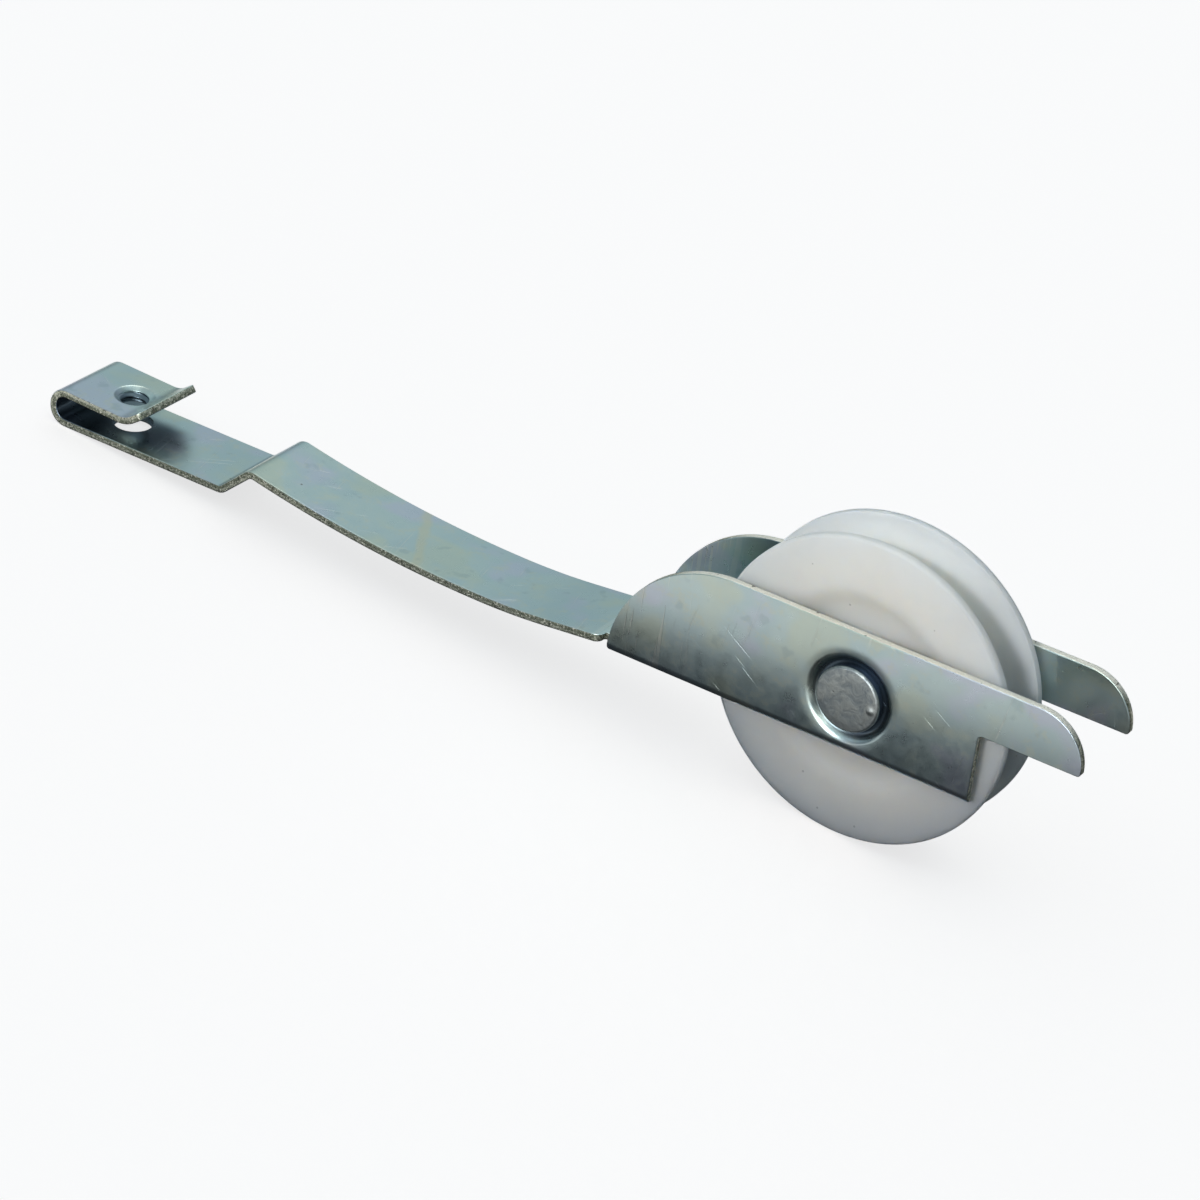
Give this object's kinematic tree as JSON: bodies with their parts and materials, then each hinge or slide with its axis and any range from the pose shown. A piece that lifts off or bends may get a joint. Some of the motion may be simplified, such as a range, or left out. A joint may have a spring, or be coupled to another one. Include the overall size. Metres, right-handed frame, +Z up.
{
  "type": "sliding door roller",
  "caption": "Grooved nylon wheel on a riveted axle in a steel yoke, on a curved leaf-spring arm that ends in a J-shaped screw clip.",
  "frame": {"origin": "centre of the bounding box's underside: the roller stands on its wheel and on the bend of its clip", "axes": "+X from the clip to the yoke's nose, +Y along the wheel's axle towards the rivet's tail, +Z up"},
  "size_m": [0.1208, 0.0116, 0.0317],
  "materials": {
    "zinc_plate": "zinc plated, satin",
    "rivet_steel": "zinc plated, dull, cold headed",
    "white_nylon": "natural nylon, satin"
  },
  "bodies": {
    "clip": {"mounting_clip": "zinc_plate"},
    "yoke": {"wheel_yoke": "zinc_plate", "axle_rivet": "rivet_steel"},
    "wheel": {"grooved_wheel": "white_nylon"}
  },
  "joints": [
    {"name": "arm_flex", "type": "hinge", "parent": "clip", "child": "yoke", "pos_m": [-0.01525, 0, 0.00503], "axis": [0, -1, 0], "range_deg": [-8, 8], "stiffness_Nm_per_rad": 2.33},
    {"name": "wheel_spin", "type": "hinge", "parent": "yoke", "child": "wheel", "pos_m": [0.03627, 0, 0.01588], "axis": [0, 1, 0], "continuous": true}
  ]
}
